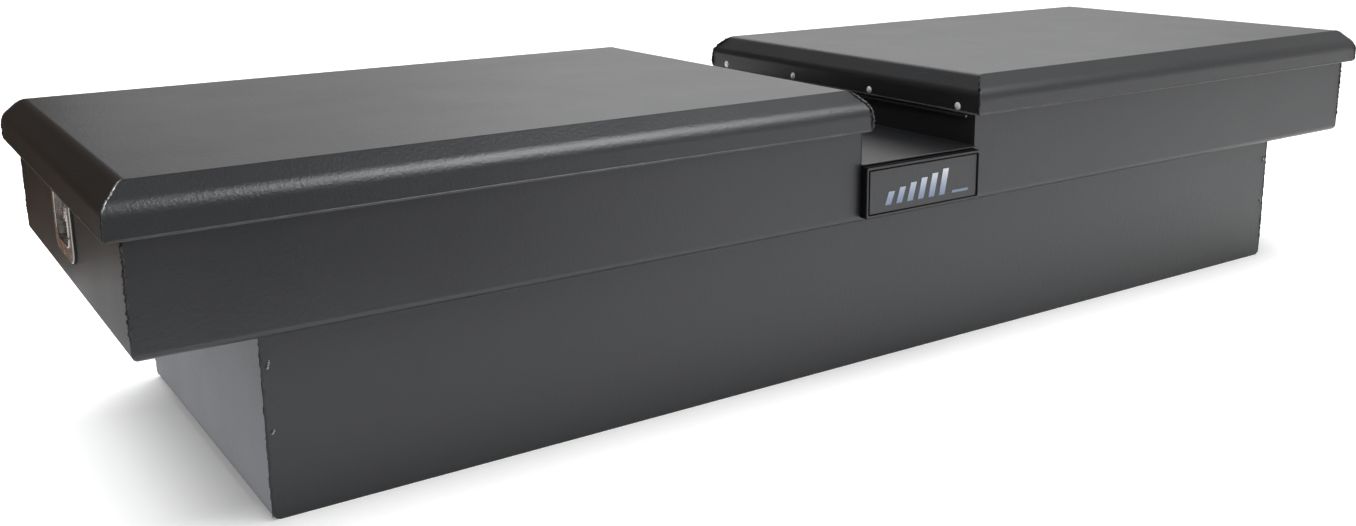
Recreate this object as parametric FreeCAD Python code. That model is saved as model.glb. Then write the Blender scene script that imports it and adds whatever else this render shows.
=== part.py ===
"""Crossover truck tool box with two gull-wing lids.

Frame: +X along the length of the box (across the truck), -Y is the front face,
+Z is up.  The origin is the middle of the tub's underside.  Millimetres.
Every piece of the right-hand half is made once and mirrored for the left.
"""
import FreeCAD, Part
import math
import os

V = FreeCAD.Vector

# ---- driving dimensions -------------------------------------------------
LENGTH = 1778.0          # over the two lids' end skirts
LID_DEPTH = 548.0        # over the lids' front and rear skirts
HEIGHT = 341.0           # tub underside to lid top
SHEET = 2.0              # steel sheet

BODY_HALF_X = 875.0      # outer faces of the end walls
BODY_HALF_Y = 262.5      # outer faces of the front and rear panels
TUB_HALF_X = 762.0       # the tub hangs between the bed rails
TUB_HALF_Y = 222.5
SHELF_Z = 188.0          # underside of the shelves that rest on the rails
DECK_Z = 256.0           # top of the deck between the lids
WALL_TOP = 318.0         # top of every wall under the lids
END_BEND = 9.0           # outer bend radius at the foot of the end walls and tub
LEDGE_BEND = 8.0         # outer bend radius at the foot of the front and rear panels
CURL_LEG = 3.0           # flat left after an end bend, up to its weld
SHELF_HALF_Y = BODY_HALF_Y - LEDGE_BEND - CURL_LEG

SKIRT_BOTTOM = 296.0     # lower edge of the lids
BEVEL = 20.0             # lids' sloping border, across and down
LID_INNER_X = 84.0       # lids' inner skirts face each other across the recess
RECESS_HALF_X = 90.0     # faces of the recess walls
END_RADII = (13.0, 12.0)   # lid's ends: outer radius at the skirt, outer radius at the top
FRONT_RADII = (24.0, 2.2)  # lid's front and rear: the same two bends

HINGE_X, HINGE_Z = 87.5, 291.0
KNUCKLE_R, HINGE_PIN_R, FIT = 2.4, 1.2, 0.05
HINGE_HALF_Y = 250.0
KNUCKLES = 40
KNUCKLE_GAP = 0.4
LEAF = 1.2
RIVET_YS = (-238.5, -79.5, 79.5, 238.5)
WALL_RIVET_YS = (-199.0, -39.75, 39.75, 199.0)
RIVET_Z = 302.0
WALL_RIVET_RISE = 1.0    # the wall leaf's rivets sit this much higher
RIVET_HEAD = (4.8, 1.9)  # radius and height of a rivet's domed head
LEAF_TOPS = (315.0, 316.0)   # upper edges of the lid leaf and the wall leaf

RIM_INNER = (116.0, 855.0, 241.0)     # x from, x to, half depth of the rim's opening
SEAL_LINE = (110.0, 862.0, 247.0)     # the same for the middle of the seal
SEAL_TOP = 338.6
RIM_LIP = 12.0                        # depth of the rim's turned-down lip

RAIL_HOLE_X, RAIL_HOLE_Y, RAIL_HOLE_R = 815.0, 150.0, 5.5

LATCH_Z = 258.5                       # middle of the latch's flange on the end wall
PAN_HALF, PAN_CORNER = (47.0, 38.5), 16.0      # flange: half width and half height, corner radius
POCKET_HALF, POCKET_CORNER, POCKET_Z = (32.5, 25.0), 12.0, 259.0
POCKET_FLOOR = 857.0
SCOOP_R = 21.0                        # bend from the pocket's foot up to its floor, room for a finger
PAN_FACE, PAN_SHEET, GASKET = 878.0, 1.2, 1.8
PAN_BACK = PAN_FACE - PAN_SHEET
POCKET_BACK = POCKET_FLOOR - PAN_SHEET
WALL_HOLE_GAP = 1.6                   # hole in the end wall, larger than the pocket's inside
LATCH_STUDS = ((40.0, LATCH_Z), (-40.0, LATCH_Z), (0.0, 226.5), (0.0, 290.5))
STUD_R, NUT_R, NUT_X = 1.8, 4.0, 869.8
SLOT = (6.5, 264.0, 283.0)            # half width, foot and top of the slot for the paddle's finger
PADDLE_HALF, PADDLE_CORNER, PADDLE_Z = (26.0, 15.0), 9.0, 265.0
PADDLE_BACK, PADDLE_FACE = POCKET_FLOOR + 11.5, POCKET_FLOOR + 14
PADDLE_PIN_X, PADDLE_PIN_Z, PADDLE_PIN_R, PADDLE_PIN_HALF = POCKET_FLOOR + 8, 276.0, 2.0, 32.9
FINGER_HALF, FINGER_Z = 5.0, (278.6, 279.9)    # finger that presses the pawl's tail down
BARREL_R, BARREL_FROM, BARREL_TO = 9.0, POCKET_FLOOR + 2, 875.5
LOCK_Z, LOCK_R, LOCK_FROM, LOCK_TO = 264.0, 6.0, POCKET_FLOOR + 4, 876.2
KEYWAY_HALF = (0.6, 3.5)
PAWL_X, PAWL_Z, PAWL_PIN_R = POCKET_FLOOR - 22, 282.0, 2.5
PAWL_HALF, CHEEK_Y, CHEEK = 4.0, 9.0, 2.0      # pawl's half width, inner face and thickness of a cheek
STRIKER_X, STRIKER_Z, STRIKER_R = PAWL_X - 14, 291.0, 3.0

STRUT_Y = 228.0
STRUT_BODY = (125.0, 214.0)           # x, z of the ball on the box
STRUT_LID = (395.0, 308.0)            # x, z of the ball on the closed lid
TUBE_R, TUBE_BORE, ROD_R = 7.5, 6.5, 3.0
SOCKET_R, SOCKET_HALF, SHANK_R = 8.0, 6.0, 4.5  # end fittings: eye and the shank behind it
BALL_R = 5.0
TUBE_FROM, TUBE_TO = 15.0, 248.0      # along the strut from the ball on the box
PISTON_AT, PISTON_DEPTH = 60.0, 10.0

NAMEPLATE_HALF_X, NAMEPLATE_Z = 90.0, (193.5, 253.5)
NAMEPLATE_BACKING, NAMEPLATE_FACE = 8.5, 1.6

CUT = 1.0                # how far a cutting shape runs past the piece it cuts


# ---- small helpers ------------------------------------------------------
def block(x0, x1, y0, y1, z0, z1):
    return Part.makeBox(x1 - x0, y1 - y0, z1 - z0, V(x0, y0, z0))


def bar(radius, start, end):
    return Part.makeCylinder(radius, (end - start).Length, start, end - start)


def fused(shapes):
    """One solid from touching or crossing shapes."""
    return shapes[0].multiFuse(shapes[1:]).removeSplitter()


def less(shape, tools):
    return shape.cut(Part.makeCompound(tools))


def plate(points, place, along):
    """Flat outline, with ("arc", middle) before an end point for a round stretch, pushed along."""
    edges = []
    start = points[0]
    middle = None
    for point in points[1:] + [points[0]]:
        if point[0] == "arc":
            middle = point[1]
            continue
        if middle is None:
            edges.append(Part.LineSegment(place(*start), place(*point)).toShape())
        else:
            edges.append(Part.Arc(place(*start), place(*middle), place(*point)).toShape())
            middle = None
        start = point
    return Part.Face(Part.Wire(edges)).extrude(along)


def bent(corners, radii):
    """Outline through the corners, each rounded by its radius, in the form that plate() takes."""
    outline = []
    count = len(corners)
    for index, (corner, radius) in enumerate(zip(corners, radii)):
        if not radius:
            outline.append(corner)
            continue
        here = V(corner[0], corner[1], 0)
        before = V(*corners[index - 1], 0) - here
        after = V(*corners[(index + 1) % count], 0) - here
        before.normalize()
        after.normalize()
        half_angle = before.getAngle(after) / 2
        inward = before + after
        inward.normalize()
        start = here + before * (radius / math.tan(half_angle))
        end = here + after * (radius / math.tan(half_angle))
        middle = here + inward * (radius / math.sin(half_angle) - radius)
        outline += [(start.x, start.y), ("arc", (middle.x, middle.y)), (end.x, end.y)]
    return outline


def bend_middle(centre, radius, toward):
    """Middle point of a quarter bend, toward a corner such as (1, -1)."""
    reach = radius * math.sqrt(0.5)
    return (centre[0] + reach * toward[0], centre[1] + reach * toward[1])


def curled(face, base, top, radius, tip, place, along):
    """Sheet that comes down at u = face, bends inward and ends flat at u = tip."""
    centre = (face - radius, base + radius)
    inner = radius - SHEET
    outline = [(face, top), (face, base + radius), ("arc", bend_middle(centre, radius, (1, -1))),
               (face - radius, base), (tip, base), (tip, base + SHEET), (face - radius, base + SHEET),
               ("arc", bend_middle(centre, inner, (1, -1))), (face - SHEET, base + radius),
               (face - SHEET, top)]
    return plate(outline, place, along)


def rounded_block(half_y, half_z, middle_z, radius, x0, x1):
    """Block along X whose Y-Z outline has round corners."""
    shape = block(x0, x1, -half_y, half_y, middle_z - half_z, middle_z + half_z)
    corners = [e for e in shape.Edges if e.BoundBox.XLength > 0.9 * (x1 - x0)]
    return shape.makeFillet(radius, corners)


def ring(x0, x1, half_y, width, z0, z1):
    """Rectangular ring whose inner outline is given and which is width wide outwards."""
    outer = block(x0 - width, x1 + width, -half_y - width, half_y + width, z0, z1)
    return outer.cut(block(x0, x1, -half_y, half_y, z0, z1))


def mirrored(shape):
    return shape.mirror(V(0, 0, 0), V(1, 0, 0))


def save(node, shape):
    shape.exportStep("parts/" + node + ".step")
    box = shape.BoundBox
    print("%-26s solids %2d  z %7.1f %7.1f  ok %s"
          % (node, len(shape.Solids), box.ZMin, box.ZMax, shape.isValid()))


def save_sides(node, shape):
    save("right_" + node, shape)
    save("left_" + node, mirrored(shape))


def save_both_sides(node, solids):
    """Loose pieces of both halves in one node."""
    save(node, Part.makeCompound(solids + [mirrored(s) for s in solids]))


# ---- sheet-metal body ---------------------------------------------------
def front_panel():
    foot = SHELF_Z + LEDGE_BEND + SHEET
    inner_x = BODY_HALF_X - SHEET
    notch_x = RECESS_HALF_X + SHEET
    sheet = block(-inner_x, inner_x, -BODY_HALF_Y, -BODY_HALF_Y + SHEET, foot, WALL_TOP)
    front, back = -BODY_HALF_Y - CUT, -BODY_HALF_Y + SHEET + CUT
    notch = block(-notch_x, notch_x, front, back, DECK_Z - SHEET, WALL_TOP + CUT)
    return sheet.cut(notch)


def curled_foot(half_x, tip):
    return curled(BODY_HALF_Y, SHELF_Z, SHELF_Z + LEDGE_BEND + SHEET, LEDGE_BEND, tip,
                  lambda u, v: V(-half_x, -u, v), V(2 * half_x, 0, 0))


def front_ledge():
    """Rounded foot of the front panel, which turns in to the tub and laps the shelves."""
    foot = fused([curled_foot(TUB_HALF_X, TUB_HALF_Y), curled_foot(BODY_HALF_X, SHELF_HALF_Y)])
    return less(foot, [end_wall_sheet(), mirrored(end_wall_sheet())]).common(trough_across())


def trough_across():
    """Block as long as the box with the round feet of the end walls, for trimming."""
    return plate(bent([(-BODY_HALF_X, WALL_TOP), (-BODY_HALF_X, SHELF_Z), (BODY_HALF_X, SHELF_Z),
                       (BODY_HALF_X, WALL_TOP)], [0, END_BEND, END_BEND, 0]),
                 lambda u, v: V(u, -BODY_HALF_Y, v), V(0, 2 * BODY_HALF_Y, 0))


def trough_along():
    """Block as deep as the box with the round feet of the front and rear panels, for trimming."""
    return plate(bent([(-BODY_HALF_Y, WALL_TOP), (-BODY_HALF_Y, SHELF_Z), (BODY_HALF_Y, SHELF_Z),
                       (BODY_HALF_Y, WALL_TOP)], [0, LEDGE_BEND, LEDGE_BEND, 0]),
                 lambda u, v: V(-BODY_HALF_X, u, v), V(2 * BODY_HALF_X, 0, 0))


def tub_front_wall():
    inner_x = TUB_HALF_X - SHEET
    inner_bend = END_BEND - SHEET
    centre = (inner_x - inner_bend, END_BEND)
    outline = [(inner_x, SHELF_Z + SHEET), (inner_x, END_BEND),
               ("arc", bend_middle(centre, inner_bend, (1, -1))), (centre[0], SHEET), (-centre[0], SHEET),
               ("arc", bend_middle((-centre[0], END_BEND), inner_bend, (-1, -1))), (-inner_x, END_BEND),
               (-inner_x, SHELF_Z + SHEET)]
    return plate(outline, lambda u, v: V(u, -TUB_HALF_Y, v), V(0, SHEET, 0))


def to_rear(shape):
    return shape.mirror(V(0, 0, 0), V(0, 1, 0))


def end_wall_sheet():
    wall = curled(BODY_HALF_X, SHELF_Z, WALL_TOP, END_BEND, BODY_HALF_X - END_BEND - CURL_LEG,
                  lambda u, v: V(u, -BODY_HALF_Y, v), V(0, 2 * BODY_HALF_Y, 0))
    return wall.common(trough_along())


def end_wall():
    """End wall with the latch's opening and the holes for its studs."""
    inner, outer = BODY_HALF_X - SHEET - CUT, BODY_HALF_X + CUT
    studs = [bar(STUD_R + 0.4, V(inner, y, z), V(outer, y, z)) for y, z in LATCH_STUDS]
    return less(end_wall_sheet(), [pocket_block(WALL_HOLE_GAP, inner, outer)] + studs)


def shelf():
    """Plate over one bed rail, with the holes for the rail bolts."""
    low, high = SHELF_Z, SHELF_Z + SHEET
    sheet = block(TUB_HALF_X, BODY_HALF_X - END_BEND - CURL_LEG, -SHELF_HALF_Y, SHELF_HALF_Y, low, high)
    return less(sheet, [bar(RAIL_HOLE_R, V(RAIL_HOLE_X, y, low - CUT), V(RAIL_HOLE_X, y, high + CUT))
                        for y in (-RAIL_HOLE_Y, RAIL_HOLE_Y)])


def tub_end_wall():
    return curled(TUB_HALF_X, 0, SHELF_Z + SHEET, END_BEND, TUB_HALF_X - END_BEND - CURL_LEG,
                  lambda u, v: V(u, -TUB_HALF_Y, v), V(0, 2 * TUB_HALF_Y, 0))


def tub_floor():
    half = TUB_HALF_X - END_BEND - CURL_LEG
    return block(-half, half, -TUB_HALF_Y, TUB_HALF_Y, 0, SHEET)


def channel_block(half_x, half_y, foot, bend):
    """Block as long as the recess is deep, with its two lower long edges rounded."""
    shape = block(-half_x, half_x, -half_y, half_y, foot, WALL_TOP + CUT)
    long_edges = [e for e in shape.Edges if e.BoundBox.YLength > half_y and e.BoundBox.ZMax < foot + CUT]
    return shape.makeFillet(bend, long_edges)


def deck_lip():
    """Rounded front edge of the deck, which covers the top of the nameplate's backing."""
    reach, edge_r = 2.0, 0.9
    front = -BODY_HALF_Y - reach
    lip = block(-RECESS_HALF_X, RECESS_HALF_X, front, -BODY_HALF_Y + CUT, DECK_Z - SHEET, DECK_Z)
    front_edges = [e for e in lip.Edges if e.BoundBox.YMax < -BODY_HALF_Y - CUT
                   and e.BoundBox.XLength > RECESS_HALF_X]
    return lip.makeFillet(edge_r, front_edges)


def centre_channel():
    """Deck between the lids with the two recess walls, bent from one sheet."""
    inner_bend = 1.0
    outer_x = RECESS_HALF_X + SHEET
    outer = channel_block(outer_x, BODY_HALF_Y, DECK_Z - SHEET, inner_bend + SHEET)
    outer = outer.common(block(-outer_x, outer_x, -BODY_HALF_Y, BODY_HALF_Y, DECK_Z - SHEET, WALL_TOP))
    channel = outer.cut(channel_block(RECESS_HALF_X, BODY_HALF_Y + CUT, DECK_Z, inner_bend))
    channel = fused([channel, deck_lip(), to_rear(deck_lip())])
    z = RIVET_Z + WALL_RIVET_RISE
    return less(channel, [bar(STUD_R + FIT, V(side * (RECESS_HALF_X - CUT), y, z),
                              V(side * (outer_x + CUT), y, z)) for side in (-1, 1) for y in WALL_RIVET_YS])


def rim_frame():
    """Flange with a turned-down lip round one lid opening."""
    x0, x1, half_y = RIM_INNER
    low = WALL_TOP - SHEET
    flange = block(RECESS_HALF_X + SHEET, BODY_HALF_X - SHEET, -BODY_HALF_Y + SHEET, BODY_HALF_Y - SHEET,
                   low, WALL_TOP)
    flange = flange.cut(block(x0, x1, -half_y, half_y, low, WALL_TOP))
    return fused([flange, ring(x0, x1, half_y, SHEET, WALL_TOP - RIM_LIP, low)])


def seal():
    """Bulb seal along the rim, just clear of the closed lid, on a wider flat base."""
    x0, x1, half_y = SEAL_LINE
    bulb_r, base_r, base_height = 5.0, 6.0, 2.5
    bulb = ring(x0 + bulb_r, x1 - bulb_r, half_y - bulb_r, 2 * bulb_r, WALL_TOP, SEAL_TOP)
    bulb = bulb.makeFillet(bulb_r - 0.1, [e for e in bulb.Edges if e.BoundBox.ZMin > SEAL_TOP - 0.1])
    base = ring(x0 + base_r, x1 - base_r, half_y - base_r, 2 * base_r, WALL_TOP, WALL_TOP + base_height)
    return fused([bulb, base])


# ---- lids ---------------------------------------------------------------
def lid_section(low, high, foot, inset, radii):
    """Outline across a lid: upright skirts, sloping borders and a flat top."""
    drop = inset * math.tan(math.radians(22.5))
    bend_z, top = HEIGHT - BEVEL - drop, HEIGHT - inset
    low, high = low + inset, high - inset
    run = top - bend_z
    sharpest = 0.2
    skirt, crease = [max(radius - inset, sharpest) for radius in radii]
    corners = [(low, foot), (low, bend_z), (low + run, top), (high - run, top), (high, bend_z), (high, foot)]
    return bent(corners, [0, skirt, crease, crease, skirt, 0])


def lid_form(foot, inset):
    """Solid where the section along the lid and the section across it meet in mitred corners."""
    half_y = LID_DEPTH / 2
    along = plate(lid_section(LID_INNER_X, LENGTH / 2, foot, inset, END_RADII),
                  lambda u, v: V(u, -half_y, v), V(0, LID_DEPTH, 0))
    across = plate(lid_section(-half_y, half_y, foot, inset, FRONT_RADII),
                   lambda u, v: V(LID_INNER_X, u, v), V(LENGTH / 2 - LID_INNER_X, 0, 0))
    return along.common(across)


def lid():
    """Folded pan: top, sloping border and skirt on all four sides."""
    pan = lid_form(SKIRT_BOTTOM, 0).cut(lid_form(SKIRT_BOTTOM - CUT, SHEET))
    inner, outer = LID_INNER_X + SHEET + CUT, LID_INNER_X - CUT
    return less(pan, [bar(STUD_R + FIT, V(outer, y, RIVET_Z), V(inner, y, RIVET_Z)) for y in RIVET_YS])


def lid_stiffener():
    """Hat-section strip under the lid top."""
    depth, gauge = 14.0, 1.5
    crown, foot, brim = 13.0, 18.0, 30.0          # half widths across the hat
    start, length = 130.0, 660.0
    base = HEIGHT - SHEET
    outside = [(brim, base - gauge), (foot, base - gauge), (crown, base - depth)]
    inside = [(crown - 1, base - depth + gauge), (foot - 1, base), (brim, base)]
    half = outside[::-1] + [(brim, base)]
    outline = [(-y, z) for y, z in half[::-1]] + half
    hollow = [(-y, z) for y, z in inside[:2][::-1]] + inside[:2]

    def place(y, z):
        return V(start, y, z)
    return plate(outline, place, V(length, 0, 0)).cut(plate(hollow, place, V(length, 0, 0)))


def striker():
    """Bracket under the lid with the cross bar that the pawl holds."""
    top = HEIGHT - SHEET
    half_length, plate_half = 10.0, 16.0
    pieces = [block(STRIKER_X - 14, STRIKER_X + 20, -plate_half, plate_half, top - SHEET, top),
              bar(STRIKER_R, V(STRIKER_X, -half_length, STRIKER_Z), V(STRIKER_X, half_length, STRIKER_Z))]
    for y in (-half_length, half_length - SHEET):
        pieces.append(block(STRIKER_X - 5, STRIKER_X + STRIKER_R, y, y + SHEET, STRIKER_Z - 4.5, top - CUT))
    return fused(pieces)


def strut_lid_bracket():
    """Angle under the lid with the stud at the strut's upper end."""
    x, z = STRUT_LID
    top, face = HEIGHT - SHEET, STRUT_Y + 9
    stud_r, half_plate, half_tab = 4.0, 15.0, 11.0
    return fused([block(x - half_plate, x + half_plate, face - 22, face + SHEET, top - SHEET, top),
                  block(x - half_tab, x + half_tab, face, face + SHEET, z - 9, top),
                  bar(stud_r, V(x, face + CUT, z), V(x, STRUT_Y + SOCKET_HALF + 0.4, z))])


def rivet(foot, outward, grip, dome, radius):
    """Shank from foot back through the grip, with a domed head outward and a short tail."""
    head_r, head_h = dome
    sphere_r = (head_r ** 2 + head_h ** 2) / (2 * head_h)
    ball = Part.makeSphere(sphere_r, foot - outward * (sphere_r - head_h))
    cap = ball.common(Part.makeCylinder(head_r, head_h, foot, outward))
    return fused([cap, bar(radius, foot + outward * 0.5, foot - outward * grip)])


def lid_rivets():
    """Hinge rivets in the lid's inner skirt, domed on the recess side."""
    grip = SHEET + LEAF + 0.7
    return [rivet(V(LID_INNER_X, y, RIVET_Z), V(-1, 0, 0), grip, RIVET_HEAD, STUD_R) for y in RIVET_YS]


def wall_rivets():
    """Hinge rivets in the recess wall, domed inside the box and flush at the leaf."""
    x, z, grip = RECESS_HALF_X + SHEET, RIVET_Z + WALL_RIVET_RISE, SHEET + LEAF - 0.1
    return [rivet(V(x, y, z), V(1, 0, 0), grip, RIVET_HEAD, STUD_R) for y in WALL_RIVET_YS]


# ---- piano hinge --------------------------------------------------------
def knuckle(index):
    pitch = 2 * HINGE_HALF_Y / KNUCKLES
    y = -HINGE_HALF_Y + index * pitch
    start = V(HINGE_X, y + KNUCKLE_GAP / 2, HINGE_Z)
    end = V(HINGE_X, y + pitch - KNUCKLE_GAP / 2, HINGE_Z)
    return start, end


def hinge_leaf(first, x0, tab_foot, top, rivet_ys, rivet_z):
    """Leaf plate at x0, with every second knuckle from the first."""
    plate_foot = HINGE_Z + KNUCKLE_R + 0.4
    pieces = [block(x0, x0 + LEAF, -HINGE_HALF_Y, HINGE_HALF_Y, plate_foot, top)]
    bores = []
    for index in range(first, KNUCKLES, 2):
        start, end = knuckle(index)
        pieces.append(bar(KNUCKLE_R, start, end))
        pieces.append(block(x0, x0 + LEAF, start.y, end.y, tab_foot, plate_foot + 0.1))
        bores.append(bar(HINGE_PIN_R + FIT, start - V(0, CUT, 0), end + V(0, CUT, 0)))
    leaf = less(fused(pieces), bores)
    return less(leaf, [bar(STUD_R + FIT, V(x0 - CUT, y, rivet_z), V(x0 + LEAF + CUT, y, rivet_z))
                       for y in rivet_ys])


def hinge_lid_leaf():
    return hinge_leaf(0, LID_INNER_X + SHEET, HINGE_Z + 1.5, LEAF_TOPS[0], RIVET_YS, RIVET_Z)


def hinge_body_leaf():
    rivet_z = RIVET_Z + WALL_RIVET_RISE
    return hinge_leaf(1, RECESS_HALF_X - LEAF, HINGE_Z, LEAF_TOPS[1], WALL_RIVET_YS, rivet_z)


def hinge_pin():
    return bar(HINGE_PIN_R, V(HINGE_X, -HINGE_HALF_Y, HINGE_Z), V(HINGE_X, HINGE_HALF_Y, HINGE_Z))


# ---- end latches --------------------------------------------------------
def pocket_block(gap, x0, x1):
    """Block shaped as the latch's pocket seen from outside, larger all round by gap."""
    return rounded_block(POCKET_HALF[0] + gap, POCKET_HALF[1] + gap, POCKET_Z, POCKET_CORNER + gap, x0, x1)


def flange_block(gap, x0, x1):
    """The same for the latch's flange."""
    return rounded_block(PAN_HALF[0] + gap, PAN_HALF[1] + gap, LATCH_Z, PAN_CORNER + gap, x0, x1)


def below_scoop(gap):
    """What the pocket's scooped foot leaves out, for a pocket larger all round by gap."""
    foot, half_width = POCKET_Z - POCKET_HALF[1], POCKET_HALF[0] + 2 * PAN_SHEET
    centre_x, centre_z = POCKET_FLOOR + SCOOP_R, foot + SCOOP_R
    corner = block(POCKET_FLOOR - gap - CUT, centre_x, -half_width, half_width, foot - gap - CUT, centre_z)
    return corner.cut(across(SCOOP_R + gap, centre_x, centre_z, half_width + CUT))


def across(radius, x, z, half_length):
    """Round bar along Y, centred on the latch."""
    return bar(radius, V(x, -half_length, z), V(x, half_length, z))


def slot_block(x0, x1):
    half_width, foot, top = SLOT
    return block(x0, x1, -half_width, half_width, foot, top)


def latch_pan():
    """Stainless flange with a deep pocket, scooped at its foot, and welded studs."""
    edge, floor_bend, stud_end = 0.8, 4.0, 868.0
    flange = flange_block(0, PAN_BACK, PAN_FACE)
    flange = flange.makeChamfer(edge, [e for e in flange.Edges if e.BoundBox.XMin > PAN_FACE - 0.1])
    pocket = pocket_block(PAN_SHEET, POCKET_BACK, PAN_FACE - 0.5)
    pocket = pocket.makeFillet(floor_bend + PAN_SHEET,
                               [e for e in pocket.Edges if e.BoundBox.XMax < POCKET_FLOOR])
    pocket = pocket.cut(below_scoop(PAN_SHEET))
    space = pocket_block(0, POCKET_FLOOR, PAN_FACE + CUT)
    space = space.makeFillet(floor_bend, [e for e in space.Edges if e.BoundBox.XMax < POCKET_FLOOR + 0.1])
    space = space.cut(below_scoop(0))
    pin_bore = across(PADDLE_PIN_R + 0.02, PADDLE_PIN_X, PADDLE_PIN_Z, POCKET_HALF[0] + 2 * PAN_SHEET)
    studs = [bar(STUD_R, V(stud_end, y, z), V(PAN_BACK + 0.2, y, z)) for y, z in LATCH_STUDS]
    pan = less(fused([flange, pocket]), [space, slot_block(POCKET_BACK - CUT, POCKET_FLOOR + CUT), pin_bore])
    return pan.multiFuse(studs).removeSplitter()


def latch_gasket():
    """Rubber sheet between the flange and the end wall."""
    inner, outer = BODY_HALF_X - CUT, BODY_HALF_X + GASKET + CUT
    holes = [bar(STUD_R + 0.2, V(inner, y, z), V(outer, y, z)) for y, z in LATCH_STUDS]
    return less(flange_block(1, BODY_HALF_X, BODY_HALF_X + GASKET),
                [pocket_block(WALL_HOLE_GAP, inner, outer)] + holes)


def latch_nuts():
    nuts = []
    turns = [math.radians(60 * k) for k in range(7)]
    for y, z in LATCH_STUDS:
        corners = [V(NUT_X, y + NUT_R * math.cos(turn), z + NUT_R * math.sin(turn)) for turn in turns]
        nut = Part.Face(Part.makePolygon(corners)).extrude(V(BODY_HALF_X - SHEET - NUT_X, 0, 0))
        nuts.append(nut.cut(bar(STUD_R + FIT, V(NUT_X - CUT, y, z), V(BODY_HALF_X, y, z))))
    return nuts


def latch_case():
    """Bracket behind the pocket: a base with two cheeks that carry the pawl."""
    half_width, foot, top = 20.0, 262.0, 281.0
    cheek_foot, cheek_top = 266.0, 296.0
    base = block(POCKET_BACK - CHEEK, POCKET_BACK, -half_width, half_width, foot, top)
    base = base.cut(slot_block(POCKET_BACK - CHEEK - CUT, POCKET_BACK + CUT))
    cheeks = [block(PAWL_X - 8, POCKET_BACK - CUT, y, y + CHEEK, cheek_foot, cheek_top)
              for y in (-CHEEK_Y - CHEEK, CHEEK_Y)]
    return fused([base] + cheeks).cut(across(PAWL_PIN_R + 0.02, PAWL_X, PAWL_Z, half_width))


def latch_pins():
    """Pin of the paddle, between the pocket's walls, and pin of the pawl, between the cheeks."""
    return [across(PADDLE_PIN_R, PADDLE_PIN_X, PADDLE_PIN_Z, PADDLE_PIN_HALF),
            across(PAWL_PIN_R, PAWL_X, PAWL_Z, CHEEK_Y + CHEEK + 1.5)]


def return_spring():
    """Coils of the torsion spring round the paddle's pin."""
    coils, pitch, first_y = 6, 1.2, 10.0
    coil_r, wire_r = 2.8, 0.5
    return [Part.makeTorus(coil_r, wire_r, V(PADDLE_PIN_X, first_y + pitch * k, PADDLE_PIN_Z), V(0, 1, 0))
            for k in range(coils)]


def paddle():
    """Pull plate with two ears on the pin, a finger for the pawl and the lock barrel."""
    edge, ear, root = 0.9, 2.0, PADDLE_BACK + 0.5
    top = PADDLE_Z + PADDLE_HALF[1]
    body = rounded_block(*PADDLE_HALF, PADDLE_Z, PADDLE_CORNER, PADDLE_BACK, PADDLE_FACE)
    body = body.makeFillet(edge, [e for e in body.Edges if e.BoundBox.XMin > PADDLE_FACE - 0.1])
    finger = block(POCKET_FLOOR - 6, root, -FINGER_HALF, FINGER_HALF, *FINGER_Z)
    rib = block(POCKET_FLOOR + 7, root, -FINGER_HALF, FINGER_HALF, FINGER_Z[0], top)
    ears = [block(POCKET_FLOOR + 4, root, y, y + ear, PADDLE_PIN_Z - 4.5, top)
            for y in (-PADDLE_HALF[0] + 4, PADDLE_HALF[0] - 4 - ear)]
    barrel = bar(BARREL_R, V(BARREL_FROM, 0, LOCK_Z), V(BARREL_TO, 0, LOCK_Z))
    barrel = barrel.makeFillet(1.2, [e for e in barrel.Edges if e.BoundBox.XMin > BARREL_TO - 0.1])
    holes = [across(PADDLE_PIN_R + FIT, PADDLE_PIN_X, PADDLE_PIN_Z, PADDLE_HALF[0] + CUT),
             bar(LOCK_R + FIT, V(LOCK_FROM - 0.3, 0, LOCK_Z), V(LOCK_TO + CUT, 0, LOCK_Z))]
    return less(fused([body, finger, rib, barrel] + ears), holes)


def lock_plug():
    """Key plug that turns in the paddle."""
    half_width, half_height = KEYWAY_HALF
    plug = bar(LOCK_R, V(LOCK_FROM, 0, LOCK_Z), V(LOCK_TO, 0, LOCK_Z))
    plug = plug.makeFillet(0.5, [e for e in plug.Edges if e.BoundBox.XMin > LOCK_TO - 0.1])
    return plug.cut(block(LOCK_TO - 2.3, LOCK_TO + CUT, -half_width, half_width,
                          LOCK_Z - half_height, LOCK_Z + half_height))


def latch_pawl():
    """Rocking lever: hook on top, tail that the paddle's finger presses down."""
    tail = [(-6, -2), (-2, -6.2), (18, -9.5), (18, -4.4), (6, 0)]
    hook = [(5.5, 4), (2, 19.5), (-5, 19.5), (-10.2, 17.5), (-10.2, 14), (-5, 13.5)]
    body = plate(tail + hook, lambda u, v: V(PAWL_X + u, -PAWL_HALF, PAWL_Z + v), V(0, 2 * PAWL_HALF, 0))
    return body.cut(across(PAWL_PIN_R + FIT, PAWL_X, PAWL_Z, PAWL_HALF + CUT))


# ---- gas struts ---------------------------------------------------------
def strut_point(distance):
    """Point on the closed strut's axis, measured from the ball on the box."""
    dx, dz = STRUT_LID[0] - STRUT_BODY[0], STRUT_LID[1] - STRUT_BODY[1]
    length = math.hypot(dx, dz)
    return V(STRUT_BODY[0] + dx * distance / length, STRUT_Y, STRUT_BODY[1] + dz * distance / length)


STRUT_CLOSED = math.hypot(STRUT_LID[0] - STRUT_BODY[0], STRUT_LID[1] - STRUT_BODY[1])


def eye(distance):
    """Round end fitting of the strut, across its axis."""
    centre, half = strut_point(distance), V(0, SOCKET_HALF, 0)
    return bar(SOCKET_R, centre - half, centre + half)


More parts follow.
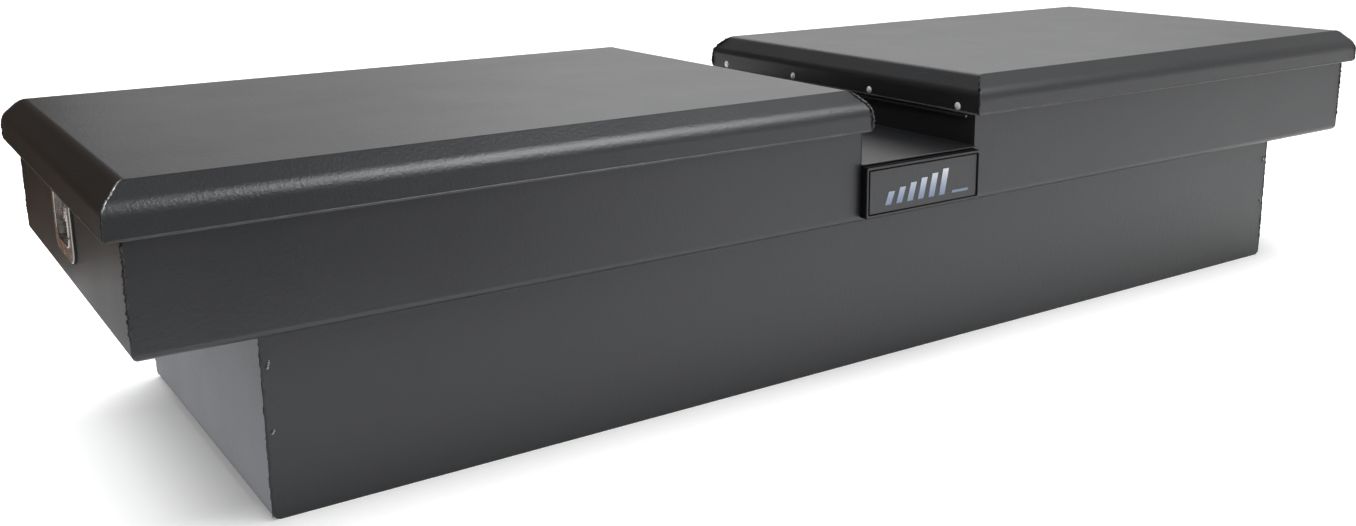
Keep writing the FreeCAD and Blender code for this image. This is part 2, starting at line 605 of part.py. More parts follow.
def strut_cylinder():
    """Pressure tube with the eye that snaps on the ball of the box's bracket."""
    wall_end, stud_way_r = 5.0, 4.0
    tube = fused([bar(TUBE_R, strut_point(TUBE_FROM), strut_point(TUBE_TO)),
                  bar(SHANK_R, strut_point(0), strut_point(TUBE_FROM + CUT)), eye(0)])
    centre = strut_point(0)
    spaces = [bar(TUBE_BORE, strut_point(TUBE_FROM + 4), strut_point(TUBE_TO - wall_end)),
              bar(ROD_R + FIT, strut_point(TUBE_TO - wall_end - CUT), strut_point(TUBE_TO + CUT)),
              Part.makeSphere(BALL_R + FIT, centre),
              bar(stud_way_r, centre, V(centre.x, STRUT_Y + SOCKET_HALF + CUT, centre.z))]
    return less(tube, spaces)


def strut_rod():
    """Rod with its piston in the tube and the eye at the lid's end."""
    piston = bar(TUBE_BORE - FIT, strut_point(PISTON_AT), strut_point(PISTON_AT + PISTON_DEPTH))
    return fused([piston, bar(ROD_R, strut_point(PISTON_AT), strut_point(STRUT_CLOSED)),
                  bar(SHANK_R, strut_point(STRUT_CLOSED - 17), strut_point(STRUT_CLOSED)), eye(STRUT_CLOSED)])


def strut_body_bracket():
    """Bracket from the rear panel with the ball stud for the strut's lower end."""
    x, z = STRUT_BODY
    half, drop, stud_r = 13.0, 14.0, 3.2
    face, wall = STRUT_Y + 8, BODY_HALF_Y - SHEET
    return fused([block(x - half, x + half, face, face + SHEET, z - drop + SHEET, z + 12),
                  block(x - half, x + half, face, wall, z - drop, z - drop + SHEET),
                  block(x - half, x + half, wall - SHEET, wall, z - drop, z + 12),
                  bar(stud_r, V(x, face + CUT, z), V(x, STRUT_Y, z)),
                  Part.makeSphere(BALL_R, V(x, STRUT_Y, z))])


# ---- nameplate ----------------------------------------------------------
def nameplate_backing():
    """Black block between the front panel and the plate."""
    (low, high), half_x, corner_r = NAMEPLATE_Z, NAMEPLATE_HALF_X, 2.5
    body = block(-half_x, half_x, -BODY_HALF_Y - NAMEPLATE_BACKING, -BODY_HALF_Y, low, high)
    return body.makeFillet(corner_r, [e for e in body.Edges if e.BoundBox.YLength > corner_r])


def nameplate():
    low, high = NAMEPLATE_Z
    margin, corner_r = 1.0, 2.0
    front = -BODY_HALF_Y - NAMEPLATE_BACKING
    half_x = NAMEPLATE_HALF_X - margin
    body = block(-half_x, half_x, front - NAMEPLATE_FACE, front, low + margin, high - margin)
    return body.makeFillet(corner_r, [e for e in body.Edges if e.BoundBox.YLength > 1])


def main():
    os.makedirs("parts", exist_ok=True)
    save("front_panel", front_panel())
    save("rear_panel", to_rear(front_panel()))
    save("front_ledge", front_ledge())
    save("rear_ledge", to_rear(front_ledge()))
    save("tub_front_wall", tub_front_wall())
    save("tub_rear_wall", to_rear(tub_front_wall()))
    save("tub_floor", tub_floor())
    save("centre_channel", centre_channel())
    save("nameplate_backing", nameplate_backing())
    save("nameplate", nameplate())
    for node, make in (("end_wall", end_wall), ("shelf", shelf), ("tub_end_wall", tub_end_wall),
                       ("rim_frame", rim_frame), ("seal", seal), ("lid", lid),
                       ("lid_stiffener", lid_stiffener), ("striker", striker),
                       ("strut_lid_bracket", strut_lid_bracket),
                       ("hinge_lid_leaf", hinge_lid_leaf), ("hinge_body_leaf", hinge_body_leaf),
                       ("hinge_pin", hinge_pin), ("latch_pan", latch_pan), ("latch_gasket", latch_gasket),
                       ("latch_case", latch_case), ("paddle", paddle), ("lock_plug", lock_plug),
                       ("latch_pawl", latch_pawl), ("strut_cylinder", strut_cylinder),
                       ("strut_rod", strut_rod)):
        save_sides(node, make())
    save("right_lid_rivets", Part.makeCompound(lid_rivets()))
    save("left_lid_rivets", mirrored(Part.makeCompound(lid_rivets())))
    save_both_sides("hinge_wall_rivets", wall_rivets())
    save_both_sides("latch_nuts", latch_nuts())
    save_both_sides("latch_pins", latch_pins())
    save_both_sides("paddle_return_springs", return_spring())
    save_both_sides("strut_body_brackets", [strut_body_bracket()])


main()
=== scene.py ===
"""Crossover truck tool box with two gull-wing lids: finishes, fine detail, studio and camera."""

import math
import random

import bmesh
import bpy
from mathutils import Matrix, Vector
from mathutils.bvhtree import BVHTree


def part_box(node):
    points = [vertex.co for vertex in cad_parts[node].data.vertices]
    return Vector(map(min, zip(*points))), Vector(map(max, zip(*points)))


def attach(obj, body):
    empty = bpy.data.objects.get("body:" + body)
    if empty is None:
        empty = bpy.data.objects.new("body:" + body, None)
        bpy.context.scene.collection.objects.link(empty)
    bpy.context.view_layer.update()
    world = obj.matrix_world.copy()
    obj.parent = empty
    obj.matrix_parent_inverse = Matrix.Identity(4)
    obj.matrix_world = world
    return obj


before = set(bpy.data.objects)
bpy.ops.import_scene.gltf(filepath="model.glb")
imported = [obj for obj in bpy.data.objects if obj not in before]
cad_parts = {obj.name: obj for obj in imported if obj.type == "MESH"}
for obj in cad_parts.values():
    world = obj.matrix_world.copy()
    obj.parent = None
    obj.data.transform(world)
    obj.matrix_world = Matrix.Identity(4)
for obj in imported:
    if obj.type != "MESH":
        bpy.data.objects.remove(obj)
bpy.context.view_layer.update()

MM = 0.001
SIDES = {"left": -1, "right": 1}
CORNERS = ((-1, -1), (-1, 1), (1, -1), (1, 1))  # signs of x and y
CORNER_STEPS = 4  # points round one corner of a rounded path, less one

# ---------------------------------------------------------------- places, from the frame
FRONT_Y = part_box("front_panel")[0].y  # outer face of the front panel
BODY_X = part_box("right_end_wall")[1].x  # outer face of an end wall
BODY_FOOT_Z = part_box("front_panel")[0].z
TUB_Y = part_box("tub_front_wall")[0].y
TUB_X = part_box("right_tub_end_wall")[1].x
SKIRT_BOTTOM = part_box("right_lid")[0].z
PRINT_BOTTOM_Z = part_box("nameplate")[0].z + 10 * MM  # where the emblem's colours begin
PRINT_TOP_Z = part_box("nameplate")[1].z - 12 * MM


# ---------------------------------------------------------------- material helpers
def map_range(tree, source, from_low, from_high, to_low=0.0, to_high=1.0):
    """A Map Range node fed by a source."""
    span = tree.nodes.new("ShaderNodeMapRange")
    span.inputs["From Min"].default_value = from_low
    span.inputs["From Max"].default_value = from_high
    span.inputs["To Min"].default_value = to_low
    span.inputs["To Max"].default_value = to_high
    tree.links.new(source, span.inputs["Value"])
    return span


class Finish:
    """A node material: one Principled shader and the textures that drive it."""

    def __init__(self, name, colour, roughness, metallic=0.0, **sockets):
        self.material = bpy.data.materials.new(name)
        self.material.use_nodes = True
        self.tree = self.material.node_tree
        self.shader = self.tree.nodes["Principled BSDF"]
        self.coords = self.node("ShaderNodeTexCoord").outputs["Object"]
        self.set("Base Color", (*colour, 1.0))
        self.set("Roughness", roughness)
        self.set("Metallic", metallic)
        for socket, value in sockets.items():
            self.set(socket.replace("_", " "), value)

    def node(self, kind):
        return self.tree.nodes.new(kind)

    def set(self, socket, value):
        self.shader.inputs[socket].default_value = value

    def link(self, output, target):
        self.tree.links.new(output, target)

    def stretched(self, scale):
        """The object's coordinates, stretched along its axes."""
        mapping = self.node("ShaderNodeMapping")
        mapping.inputs["Scale"].default_value = scale
        self.link(self.coords, mapping.inputs["Vector"])
        return mapping.outputs["Vector"]

    def noise(self, size, detail=2.0, roughness=0.5, coords=None):
        """Noise whose features are about that size in metres."""
        noise = self.node("ShaderNodeTexNoise")
        noise.inputs["Scale"].default_value = 1 / size
        noise.inputs["Detail"].default_value = detail
        noise.inputs["Roughness"].default_value = roughness
        self.link(coords or self.coords, noise.inputs["Vector"])
        return noise.outputs["Fac"]

    def ramp(self, source, *stops):
        """Colours or grey values along a source from 0 to 1, as (place, value) pairs."""
        ramp = self.node("ShaderNodeValToRGB")
        points = ramp.color_ramp.elements
        while len(points) < len(stops):
            points.new(0.5)
        for point, (place, value) in zip(points, stops):
            point.position = place
            rgb = value if hasattr(value, "__len__") else (value, value, value)
            point.color = (*rgb, 1.0)
        self.link(source, ramp.inputs["Fac"])
        return ramp.outputs["Color"]

    def vary_colour(self, source, *stops):
        self.link(self.ramp(source, *stops), self.shader.inputs["Base Color"])

    def vary_roughness(self, source, low, high):
        """Roughness from low to high over the middle of a noise's values."""
        span = map_range(self.tree, source, 0.3, 0.7, low, high)
        self.link(span.outputs["Result"], self.shader.inputs["Roughness"])

    def relief(self, *layers):
        """Bumps, each a (height source, height in metres) pair, one laid over the last."""
        normal = None
        for source, height in layers:
            bump = self.node("ShaderNodeBump")
            bump.inputs["Distance"].default_value = height
            self.link(source, bump.inputs["Height"])
            if normal:
                self.link(normal, bump.inputs["Normal"])
            normal = bump.outputs["Normal"]
        self.link(normal, self.shader.inputs["Normal"])
        return self


# ---------------------------------------------------------------- finishes
def powder_coat(name="powder_coat", colour=(0.0080, 0.0083, 0.0090), roughness=0.39):
    """Charcoal powder coat: a fine pebbled grain, faint mottling and slightly wavy sheet."""
    cool = (0.955, 0.97, 1.0, 1.0)
    finish = Finish(name, colour, roughness, Specular_Tint=cool, Specular_IOR_Level=0.53)
    mottle = finish.noise(0.11, detail=5, roughness=0.62)
    grain = finish.noise(0.0016, detail=3, roughness=0.6)
    pebble = finish.noise(0.0034, detail=1)
    waves = finish.noise(0.34, detail=0)
    finish.vary_colour(
        mottle,
        (0.30, tuple(0.88 * c for c in colour)),
        (0.72, tuple(1.14 * c for c in colour)),
    )
    finish.vary_roughness(mottle, roughness - 0.015, roughness + 0.02)
    return finish.relief((waves, 0.7 * MM), (pebble, 0.21 * MM), (grain, 0.14 * MM))


def edge_highlight_coat(name="edge_highlight_coat", grey=0.024):
    """Powder coat painted paler along a sheet's edge: a painted highlight where the edge's bend
    catches the light.
    """
    finish = Finish(name, (grey, grey, grey * 1.08), 0.46)
    # The edge's grey, lighter than the coat's, is painted highlight; the noise makes it uneven
    # along the edge.
    uneven_sheen = finish.noise(0.02, detail=5, roughness=0.65)
    finish.vary_colour(uneven_sheen, (0.35, 0.6 * grey), (0.7, 1.7 * grey))
    return finish.relief((finish.noise(0.002, detail=2), 0.08 * MM))


def weld_coat_and_shade():
    """The same coat where it has flowed over a weld: smoother, darker and glossier. On the lids'
    inner corners its near-black also paints the shade in the slit there.
    """
    finish = Finish("weld_coat_and_shade", (0.003, 0.003, 0.0033), 0.40)
    ripple = finish.noise(0.003, detail=2)
    finish.vary_roughness(ripple, 0.30, 0.50)
    return finish.relief((ripple, 0.25 * MM))


def pale_crest_weld():
    """A weld finish: pale grey metal on its crests, near-black between them."""
    finish = Finish("pale_crest_weld", (0.20, 0.20, 0.21), 0.36, 0.6)
    crests = finish.noise(0.0035, detail=3, roughness=0.6)
    finish.vary_colour(crests, (0.38, (0.04, 0.04, 0.042)), (0.56, (0.34, 0.34, 0.35)))
    return finish.relief((crests, 0.4 * MM))


def polished(name, colour, roughness, grain_height=0.02, metallic=1.0):
    """Bright metal with fine scratches and a few duller patches."""
    finish = Finish(name, colour, roughness, metallic)
    scratches = finish.noise(0.0009, detail=2, coords=finish.stretched((1.0, 12.0, 1.0)))
    patches = finish.noise(0.014, detail=4, roughness=0.6)
    finish.vary_colour(
        patches, (0.3, tuple(0.86 * c for c in colour)), (0.75, tuple(1.06 * c for c in colour))
    )
    finish.vary_roughness(patches, roughness * 0.75, roughness * 1.35)
    return finish.relief((scratches, grain_height * MM))


def zinc(name="zinc_steel"):
    """Zinc plate: pale, spangled and a little dull."""
    finish = Finish(name, (0.52, 0.53, 0.54), 0.38, 1.0)
    spangle = finish.node("ShaderNodeTexVoronoi")
    spangle.inputs["Scale"].default_value = 1 / 0.006
    finish.link(finish.coords, spangle.inputs["Vector"])
    finish.vary_colour(
        spangle.outputs["Distance"], (0.0, (0.42, 0.43, 0.44)), (0.8, (0.60, 0.61, 0.62))
    )
    finish.vary_roughness(finish.noise(0.01, detail=4), 0.30, 0.46)
    return finish.relief((finish.noise(0.0012, detail=2), 0.03 * MM))


def rubber(name="seal_rubber"):
    """Black foam rubber with a dry, dusty bloom."""
    finish = Finish(name, (0.018, 0.018, 0.019), 0.75)
    bloom = finish.noise(0.012, detail=5, roughness=0.65)
    finish.vary_colour(bloom, (0.35, (0.012, 0.012, 0.013)), (0.75, (0.032, 0.032, 0.033)))
    return finish.relief((finish.noise(0.0008, detail=2), 0.08 * MM))


def black_plastic(name, roughness, grey=0.012, **sockets):
    """Moulded black plastic or gloss paint with an orange-peel surface."""
    finish = Finish(name, (grey, grey, grey * 1.08), roughness, **sockets)
    peel = finish.noise(0.0022, detail=1)
    finish.vary_roughness(finish.noise(0.03, detail=4), roughness - 0.05, roughness + 0.08)
    return finish.relief((peel, 0.03 * MM))


def emblem_print():
    """Screen print that fades from slate blue at the foot to pale silver at the top."""
    finish = Finish("nameplate_emblem", (0.5, 0.5, 0.5), 0.35)
    height = finish.node("ShaderNodeSeparateXYZ")
    finish.link(finish.coords, height.inputs[0])
    fade = map_range(finish.tree, height.outputs["Z"], PRINT_BOTTOM_Z, PRINT_TOP_Z)
    slate, blue_grey, silver = (0.10, 0.14, 0.22), (0.26, 0.31, 0.40), (0.62, 0.63, 0.64)
    finish.vary_colour(fade.outputs["Result"], (0.0, slate), (0.45, blue_grey), (1.0, silver))
    return finish


MATT = {"Specular_IOR_Level": 0.1}
FINISHES = {
    "powder_coat": powder_coat(),
    "stainless": polished("stainless", (0.66, 0.64, 0.62), 0.22),
    "hinge_steel": polished("hinge_steel", (0.80, 0.79, 0.77), 0.42, 0.03, metallic=0.6),
    "hinge_black": black_plastic("hinge_black", 0.38),
    "zinc_steel": zinc(),
    "lock_chrome": polished("lock_chrome", (0.72, 0.72, 0.72), 0.14, 0.008),
    "strut_black": black_plastic("strut_black", 0.30),
    "strut_chrome": polished("strut_chrome", (0.70, 0.70, 0.71), 0.10, 0.004),
    "seal_rubber": rubber(),
    # The backing's near-black grey is partly its own black plastic and partly painted shade for
    # the gap under the deck's edge.
    "nameplate_backing": black_plastic("nameplate_backing", 0.70, grey=0.002, **MATT),
    "nameplate_face": powder_coat("nameplate_face", (0.012, 0.0122, 0.013), 0.42),
    "nameplate_ink": black_plastic("nameplate_ink", 0.75, grey=0.001, **MATT),
    "nameplate_emblem": emblem_print(),
    # The two edge finishes below are painted highlights along sheet edges.
    "edge_highlight_coat": edge_highlight_coat(),
    "end_highlight_edge": edge_highlight_coat("end_highlight_edge", 0.16),
    "weld_coat_and_shade": weld_coat_and_shade(),
    "pale_crest_weld": pale_crest_weld(),
}


def dress_cad_nodes():
    """Every CAD node gets the finish that its record slot names."""
    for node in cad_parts.values():
        for place in node.material_slots:
            place.material = FINISHES[place.material.name.split(".")[0]].material


# ---------------------------------------------------------------- mesh helpers
def piece(name, mesh, body, finish, smooth=True):
    """A new object made of a bmesh, with its finish and the body it rides on."""
    data = bpy.data.meshes.new(name)
    mesh.to_mesh(data)
    mesh.free()
    data.materials.append(FINISHES[finish].material)
    if smooth:
        data.shade_smooth()
    made = bpy.data.objects.new(name, data)
    bpy.context.scene.collection.objects.link(made)
    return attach(made, body)


def sweep(mesh, path, radius, sides=10):
    """A closed tube along points; radius is a number or a function of the share of its length."""
    points = [Vector(p) for p in path]
    radius_at = radius if callable(radius) else lambda share: radius
    rings = []
    across = None
    for i, point in enumerate(points):
        ahead = points[min(i + 1, len(points) - 1)] - points[max(i - 1, 0)]
        ahead.normalize()
        if across is None:
            across = ahead.orthogonal().normalized()
        across = (across - ahead * across.dot(ahead)).normalized()
        beside = ahead.cross(across)
        r = radius_at(i / (len(points) - 1))
        rings.append(
            [
                mesh.verts.new(
                    point
                    + across * (r * math.cos(math.tau * k / sides))
                    + beside * (r * math.sin(math.tau * k / sides))
                )
                for k in range(sides)
            ]
        )
    for a, b in zip(rings, rings[1:]):
        for k in range(sides):
            mesh.faces.new((a[k], a[(k + 1) % sides], b[(k + 1) % sides], b[k]))
    mesh.faces.new(reversed(rings[0]))
    mesh.faces.new(rings[-1])


def along(start, end, count):
    """Evenly spaced points from start to end."""
    start, end = Vector(start), Vector(end)
    return [start.lerp(end, i / (count - 1)) for i in range(count)]


def rounded_path(corners, z, turn):
    """A closed flat path at height z through corners, each rounded with radius turn."""
    path = []
    count = len(corners)
    for i, corner in enumerate(corners):
        here = Vector((*corner, z))
        before = (Vector((*corners[i - 1], z)) - here).normalized()
        after = (Vector((*corners[(i + 1) % count], z)) - here).normalized()
        centre = here + (before + after) * turn
        for step in range(CORNER_STEPS + 1):
            angle = step / CORNER_STEPS * math.pi / 2
            path.append(
                centre - after * turn * math.cos(angle) - before * turn * math.sin(angle)
            )
    return path + [path[0]]


def weld_bead(mesh, path, radius, seed, wander=0.35):
    """A hand-laid bead: ripples of uneven width that wander a little off the seam."""
    taper_rate, end_width = 6, 0.35
    rng = random.Random(seed)
    ripple = [rng.uniform(0.75, 1.25) for _ in path]
    shifted = [
        p + Vector([rng.uniform(-1, 1) * wander * radius for _ in range(3)]) for p in path
    ]
    last = len(path) - 1

    def width(share):
        ends = min(1.0, taper_rate * share + end_width, taper_rate * (1 - share) + end_width)
        return radius * ripple[round(share * last)] * ends

    sweep(mesh, shifted, width, sides=8)


# ---------------------------------------------------------------- welds and hems
WELD_STEP = 1.0 * MM  # between two points of a lid corner's weld
BRIGHT_POINTS = 22  # of an outer corner's points, how many show bright from the top


def lid_corner(side, end_x, end_y):
    """Points down the mitre of one lid corner, from its top face to the skirt's bottom."""
    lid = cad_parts[f"{side}_lid"]
    surface = BVHTree.FromPolygons(
        [v.co.copy() for v in lid.data.vertices], [tuple(p.vertices) for p in lid.data.polygons]
    )
    low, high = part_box(f"{side}_lid")
    corner = Vector((high.x if end_x > 0 else low.x, high.y if end_y > 0 else low.y, 0))
    first_drop, margin, reach = 0.4 * MM, 0.5 * MM, 60 * MM
    count = int((high.z - SKIRT_BOTTOM - first_drop - margin) / WELD_STEP) + 1
    points = []
    for i in range(count):
        z = high.z - first_drop - i * WELD_STEP
        start = Vector((corner.x + end_x * reach, corner.y + end_y * reach, z))
        hit = surface.ray_cast(start, Vector((-end_x, -end_y, 0)))[0]
        if hit:
            points.append(hit)
    return points


def lid_welds():
    """Each lid's four mitred corners are welded; the outer ones show bright at the top, and the
    inner ones get a wide near-black bead that also paints the shade in the slit at those corners.
    """
    bright_r, outer_r, inner_weld_and_shade_r = 0.9 * MM, 1.0 * MM, 1.9 * MM
    for side, sign in SIDES.items():
        bright = bmesh.new()
        coated = bmesh.new()
        for seed, (end_x, end_y) in enumerate(CORNERS):
            path = lid_corner(side, end_x, end_y)
            if end_x == sign:
                weld_bead(bright, path[:BRIGHT_POINTS], bright_r, 11 + seed)
                weld_bead(coated, path[BRIGHT_POINTS - 1:], outer_r, 31 + seed)
            # Inner corners: the wide near-black bead is a weld and also painted shade for the
            # slit between the skirts.
            else:
                weld_bead(coated, path, inner_weld_and_shade_r, 31 + seed)
        piece(f"{side}_lid_corner_welds_and_shade", coated, f"{side}_lid", "weld_coat_and_shade")
        piece(f"{side}_lid_bright_welds", bright, f"{side}_lid", "pale_crest_weld")


def lid_hems():
    """A slightly rolled edge all round the bottom of each lid's skirt, painted paler as a
    highlight.
    """
    radius, end_radius, turn = 1.5 * MM, 0.8 * MM, 3 * MM
    sheet_middle = 1.0 * MM
    above_edge, end_above = 0.2 * MM, 0.5 * MM
    for side, sign in SIDES.items():
        low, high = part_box(f"{side}_lid")
        outer_x = (high.x if sign > 0 else low.x) - sign * sheet_middle
        inner_x = (low.x if sign > 0 else high.x) + sign * sheet_middle
        y = high.y - sheet_middle
        z = SKIRT_BOTTOM + above_edge
        corners = [(inner_x, -y), (outer_x, -y), (outer_x, y), (inner_x, y)]
        mesh = bmesh.new()
        sweep(mesh, rounded_path(corners, z, turn), radius, sides=12)
        piece(f"{side}_lid_hem", mesh, f"{side}_lid", "edge_highlight_coat")
        # The outer end's edge is painted paler still: a painted highlight where it catches the
        # light from the left.
        end_edge = bmesh.new()
        lower_z = z - radius + end_above
        start, end = (outer_x, -y + turn, lower_z), (outer_x, y - turn, lower_z)
        sweep(end_edge, along(start, end, 40), end_radius)
        piece(f"{side}_lid_end_edge", end_edge, f"{side}_lid", "end_highlight_edge")


def body_welds():
    """Beads up the four upright corners of the upper body and of the tub."""
    inside_x, inside_y = 0.9 * MM, 0.4 * MM  # how far a bead's middle lies inside the corner
    upper_z = (BODY_FOOT_Z + 6 * MM, SKIRT_BOTTOM + 12 * MM)
    lower_z = (3 * MM, BODY_FOOT_Z - 2 * MM)
    upper_r, lower_r = 1.5 * MM, 1.2 * MM
    upper, lower = bmesh.new(), bmesh.new()
    for seed, (sx, sy) in enumerate(CORNERS):
        x, y = sx * (BODY_X - inside_x), sy * (abs(FRONT_Y) - inside_y)
        seam = along((x, y, upper_z[0]), (x, y, upper_z[1]), 60)
        weld_bead(upper, seam, upper_r, 51 + seed, wander=0.5 if sy < 0 else 0.2)
        x, y = sx * (TUB_X - inside_x), sy * (abs(TUB_Y) - inside_y)
        seam = along((x, y, lower_z[0]), (x, y, lower_z[1]), 70)
        weld_bead(lower, seam, lower_r, 61 + seed, wander=0.4)
    piece("body_corner_welds", upper, "box", "weld_coat_and_shade")
    piece("tub_corner_welds", lower, "box", "weld_coat_and_shade")


def tub_tacks():
    """Two small tack welds beside each upright corner of the tub, pale on their crests."""
    from_corner, lean, radius = 6 * MM, 2 * MM, 1.5 * MM
    tacks = ((150 * MM, 9 * MM), (86 * MM, 4.5 * MM))  # height on the wall, length
    mesh = bmesh.new()
    for seed, (sx, sy) in enumerate(CORNERS):
        for z, length in tacks:
            x = sx * (TUB_X - from_corner)
            y = sy * abs(TUB_Y)
            tack = along((x, y, z - length / 2), (x - sx * lean, y, z + length / 2), 7)
            weld_bead(mesh, tack, radius, 81 + seed, wander=0.3)
    piece("tub_tacks", mesh, "box", "pale_crest_weld")


def recess_edges():
    """Paler coat along the deck's front and rear edges and up the notch's upright edges, painted
    as a highlight.
    """
    above_backing, lip_r, notch_r = 2.0 * MM, 0.7 * MM, 0.6 * MM
    deck_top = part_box("nameplate_backing")[1].z + above_backing
    recess_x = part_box("right_hinge_body_leaf")[1].x
    lip_y = abs(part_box("centre_channel")[0].y)
    mesh = bmesh.new()
    for end in (-1, 1):
        y = end * lip_y
        sweep(mesh, along((-recess_x, y, deck_top), (recess_x, y, deck_top), 40), lip_r)
        y = end * abs(FRONT_Y)
        for side in SIDES.values():
            x = side * recess_x
            sweep(mesh, along((x, y, deck_top), (x, y, SKIRT_BOTTOM), 20), notch_r)
    piece("recess_edges", mesh, "box", "edge_highlight_coat")


# ---------------------------------------------------------------- latches
def pan_rim(side, sign):
    """The rolled rim round the pocket of one latch pan."""
    radius, turn = 0.9 * MM, 12 * MM
    side_flange, foot_flange, top_flange = 14.5 * MM, 14 * MM, 13 * MM
    low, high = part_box(f"{side}_latch_pan")
    face = sign * max(abs(low.x), abs(high.x))
    half = (high.y - low.y) / 2 - side_flange
    foot, top = low.z + foot_flange, high.z - top_flange
    corners = [(-half, foot), (half, foot), (half, top), (-half, top)]
    mesh = bmesh.new()
    sweep(mesh, [Vector((face, p.x, p.y)) for p in rounded_path(corners, 0, turn)], radius)
    piece(f"{side}_pan_rim", mesh, "box", "stainless")


def paddle_lip(side, sign):
    """The curled lower lip of one paddle, bowed up towards its ends."""
    radius, behind_face, margin = 1.5 * MM, 4.5 * MM, 7 * MM
    middle_rise, end_rise, points = 1.4 * MM, 5 * MM, 21
    low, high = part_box(f"{side}_paddle")
    x = sign * (max(abs(low.x), abs(high.x)) - behind_face)
    half = (high.y - low.y) / 2 - margin
    bow = []
    for i in range(points):
        share = 2 * i / (points - 1) - 1
        rise = middle_rise + end_rise * abs(share) ** 4
        bow.append(Vector((x, half * share, low.z + rise)))
    mesh = bmesh.new()
    sweep(mesh, bow, radius)
    piece(f"{side}_paddle_lip", mesh, f"{side}_pull_paddle", "stainless")


def latch_trim():
    """The bright trim of both end latches."""
    for side, sign in SIDES.items():
        pan_rim(side, sign)
        paddle_lip(side, sign)


# ---------------------------------------------------------------- nameplate
def nameplate_graphics():
    """A dark border line and a plain emblem of slanted bars that get taller to the right."""
    proud, inset = 0.05 * MM, 3.2 * MM
    low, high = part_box("nameplate")
    face = low.y - proud
    left, right = low.x + inset, high.x - inset
    foot, top = low.z + inset, high.z - inset
    line = bmesh.new()
    corners = [(left, face, foot), (right, face, foot), (right, face, top), (left, face, top)]
    radii = (0.9 * MM, 1.5 * MM, 0.9 * MM, 0.9 * MM)
    for start, end, radius in zip(corners, corners[1:] + corners[:1], radii):
        sweep(line, along(start, end, 3), radius, sides=8)
    piece("nameplate_line", line, "box", "nameplate_ink")

    first_x, pitch, width, slant = -62 * MM, 17 * MM, 9 * MM, 6 * MM
    first_height, growth = 15 * MM, 3.2 * MM
    bottom = low.z + 12 * MM
    bars = bmesh.new()
    for i in range(6):
        slab(bars, first_x + i * pitch, width, bottom, first_height + i * growth, face, slant)
    piece("nameplate_emblem", bars, "box", "nameplate_emblem", smooth=False)
    bar = bmesh.new()
    slab(bar, 44 * MM, 26 * MM, bottom, 3 * MM, face, 1.2 * MM)
    piece("nameplate_bar", bar, "box", "nameplate_emblem", smooth=False)


def slab(mesh, x, width, z, height, face, slant):
    """A thin bar on the nameplate's face, leaning right by slant."""
    rise = 0.35 * MM
    outline = [(x, z), (x + width, z), (x + width + slant, z + height), (x + slant, z + height)]
    back = [mesh.verts.new((px, face + rise, pz)) for px, pz in outline]
    front = [mesh.verts.new((px, face - rise, pz)) for px, pz in outline]
    mesh.faces.new(front)
    mesh.faces.new(reversed(back))
    for i in range(4):
        j = (i + 1) % 4
        mesh.faces.new((back[i], back[j], front[j], front[i]))


# ---------------------------------------------------------------- studio
def softbox(name, place, aim, width, height, power, reflected=True, lights=True):
    """An area light that shows in the gloss, lights the scene, or both."""
    light = bpy.data.lights.new(name, "AREA")
    light.shape = "RECTANGLE"
    light.size, light.size_y = width, height
    light.energy = power
    lamp = bpy.data.objects.new(name, light)
    lamp.location = place
    lamp.rotation_euler = (Vector(aim) - Vector(place)).to_track_quat("-Z", "Y").to_euler()
    lamp.visible_glossy = reflected
    lamp.visible_diffuse = lights
    bpy.context.scene.collection.objects.link(lamp)


def card(name, corners, colour):
    """A plain card that only shows in reflections; its heights are above the floor's level."""
    data = bpy.data.meshes.new(name)
    data.from_pydata([(x, y, z + MM) for x, y, z in corners], [], [(0, 1, 2, 3)])
    paint = bpy.data.materials.new(name)
    paint.use_nodes = True
    shader = paint.node_tree.nodes["Principled BSDF"]
    shader.inputs["Base Color"].default_value = (0, 0, 0, 1)
    shader.inputs["Specular IOR Level"].default_value = 0
    shader.inputs["Emission Color"].default_value = (*colour, 1)
    shader.inputs["Emission Strength"].default_value = 1
    data.materials.append(paint)
    made = bpy.data.objects.new(name, data)
    bpy.context.scene.collection.objects.link(made)
    made.visible_camera = made.visible_diffuse = made.visible_shadow = False
    made.visible_transmission = False


def floor_card(name, x_range, y_range, colour, height=0.0):
    """A card that lies flat."""
    (x0, x1), (y0, y1) = x_range, y_range
    card(name, [(x0, y0, height), (x1, y0, height), (x1, y1, height), (x0, y1, height)], colour)


def upright_card(name, x_range, y, z_range, colour):
    """A card that stands across the view from the front."""
    (x0, x1), (z0, z1) = x_range, z_range
    card(name, [(x0, y, z0), (x1, y, z0), (x1, y, z1), (x0, y, z1)], colour)


def surround():
    """A pale surround, bright on the right and falling off to the left."""
    world = bpy.data.worlds.new("studio")
    world.use_nodes = True
    nodes, links = world.node_tree.nodes, world.node_tree.links
    direction = nodes.new("ShaderNodeTexCoord").outputs["Generated"]
    towards = nodes.new("ShaderNodeVectorMath")
    towards.operation = "DOT_PRODUCT"
    towards.inputs[1].default_value = (1.0, 0.45, -0.6)
    links.new(direction, towards.inputs[0])
    fade = map_range(world.node_tree, towards.outputs["Value"], -0.1, 0.62, 0.18, 0.82)
    fade.interpolation_type = "SMOOTHSTEP"
    seen = nodes.new("ShaderNodeLightPath").outputs["Is Camera Ray"]
    strength = nodes.new("ShaderNodeMath")
    strength.operation = "MAXIMUM"
    links.new(seen, strength.inputs[0])
    links.new(fade.outputs["Result"], strength.inputs[1])
    background = nodes["Background"]
    background.inputs["Color"].default_value = (1, 1, 1, 1)
    links.new(strength.outputs["Value"], background.inputs["Strength"])
    bpy.context.scene.world = world


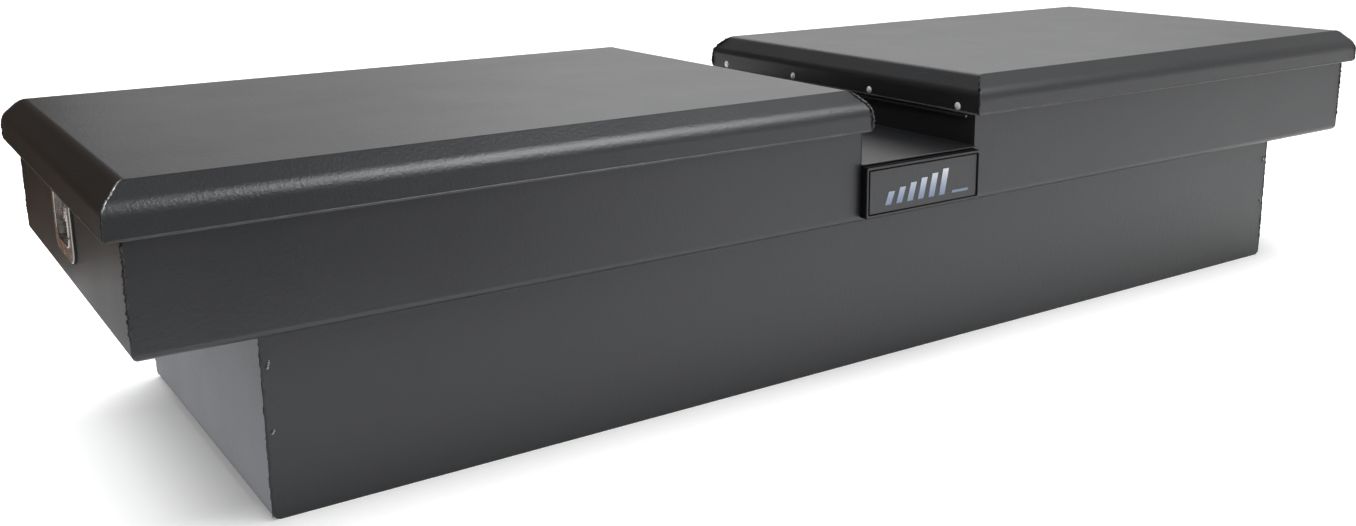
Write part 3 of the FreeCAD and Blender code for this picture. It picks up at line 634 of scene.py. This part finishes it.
def studio_floor():
    """A pale matt floor that glows more with distance, so that it meets the surround unseen."""
    near, far = 2.5, 9.0
    near_glow, far_glow = 0.22, 0.80
    bpy.ops.mesh.primitive_plane_add(size=60)
    floor = bpy.context.object
    floor.name = "studio_floor"
    paint = Finish("floor_paint", (0.90, 0.90, 0.90), 0.9)
    paint.set("Emission Color", (1, 1, 1, 1))
    distance = paint.node("ShaderNodeVectorMath")
    distance.operation = "LENGTH"
    paint.link(paint.coords, distance.inputs[0])
    glow = map_range(paint.tree, distance.outputs["Value"], near, far, near_glow, far_glow)
    paint.link(glow.outputs["Result"], paint.shader.inputs["Emission Strength"])
    clouds = paint.noise(1.5, detail=3)
    paint.vary_colour(clouds, (0.2, (0.89, 0.89, 0.89)), (0.8, (0.92, 0.92, 0.92)))
    floor.data.materials.append(paint.material)


def lights():
    """One large overhead light, and two that only show in the gloss."""
    softbox("overhead", (0.0, 0.3, 4.0), (0, 0, 0), 6.0, 5.0, 480, reflected=False)
    softbox("front_right", (0.75, -2.0, 2.1), (-0.4, -0.26, 0.33), 1.5, 1.25, 85, lights=False)
    softbox("rear_right", (2.1, 2.35, 2.5), (-0.08, -0.26, 0.26), 3.0, 1.6, 26, lights=False)


def cards():
    """Dark and bright cards that the left end, the front edge and the lids reflect."""
    brown_black = (0.075, 0.048, 0.026)
    floor_card("dark_rear_left", (-3.0, -0.9), (0.75, 6.0), brown_black)
    upright_card("dark_backdrop", (-6.0, -0.3), 4.0, (0, 3.0), brown_black)
    floor_card("brown_rear_left", (-1.12, -0.93), (0.85, 1.4), (0.17, 0.085, 0.048), height=MM)
    floor_card("dark_front_left", (-4.0, 0.0), (-4.0, -0.75), (0.33, 0.33, 0.34))
    floor_card("bright_left", (-0.97, -0.765), (-0.4, 0.6), (1.12, 1.14, 1.20))
    upright_card("front_left_glow", (-1.22, -1.0), -1.0, (0.30, 0.46), (3.0, 3.0, 3.1))
    floor_card("dim_left", (-4.0, -0.97), (-0.75, 0.75), (0.62, 0.60, 0.59))


def camera():
    """The viewing angle: from the front, left of the box and a little above its lids."""
    data = bpy.data.cameras.new("camera")
    data.lens = 35.23
    data.shift_x, data.shift_y = -0.0071, -0.0686
    shot = bpy.data.objects.new("camera", data)
    turn_right, look_down, roll = math.radians(34.02), math.radians(12.28), math.radians(-0.52)
    shot.matrix_world = (
        Matrix.Translation((-1.0716, -1.3666, 0.5703))
        @ Matrix.Rotation(-turn_right, 4, "Z")
        @ Matrix.Rotation(math.pi / 2 - look_down, 4, "X")
        @ Matrix.Rotation(roll, 4, "Z")
    )
    bpy.context.scene.collection.objects.link(shot)
    bpy.context.scene.camera = shot


dress_cad_nodes()
lid_welds()
lid_hems()
body_welds()
tub_tacks()
recess_edges()
latch_trim()
nameplate_graphics()
bpy.context.scene.view_settings.view_transform = "Standard"
studio_floor()
surround()
lights()
cards()
camera()
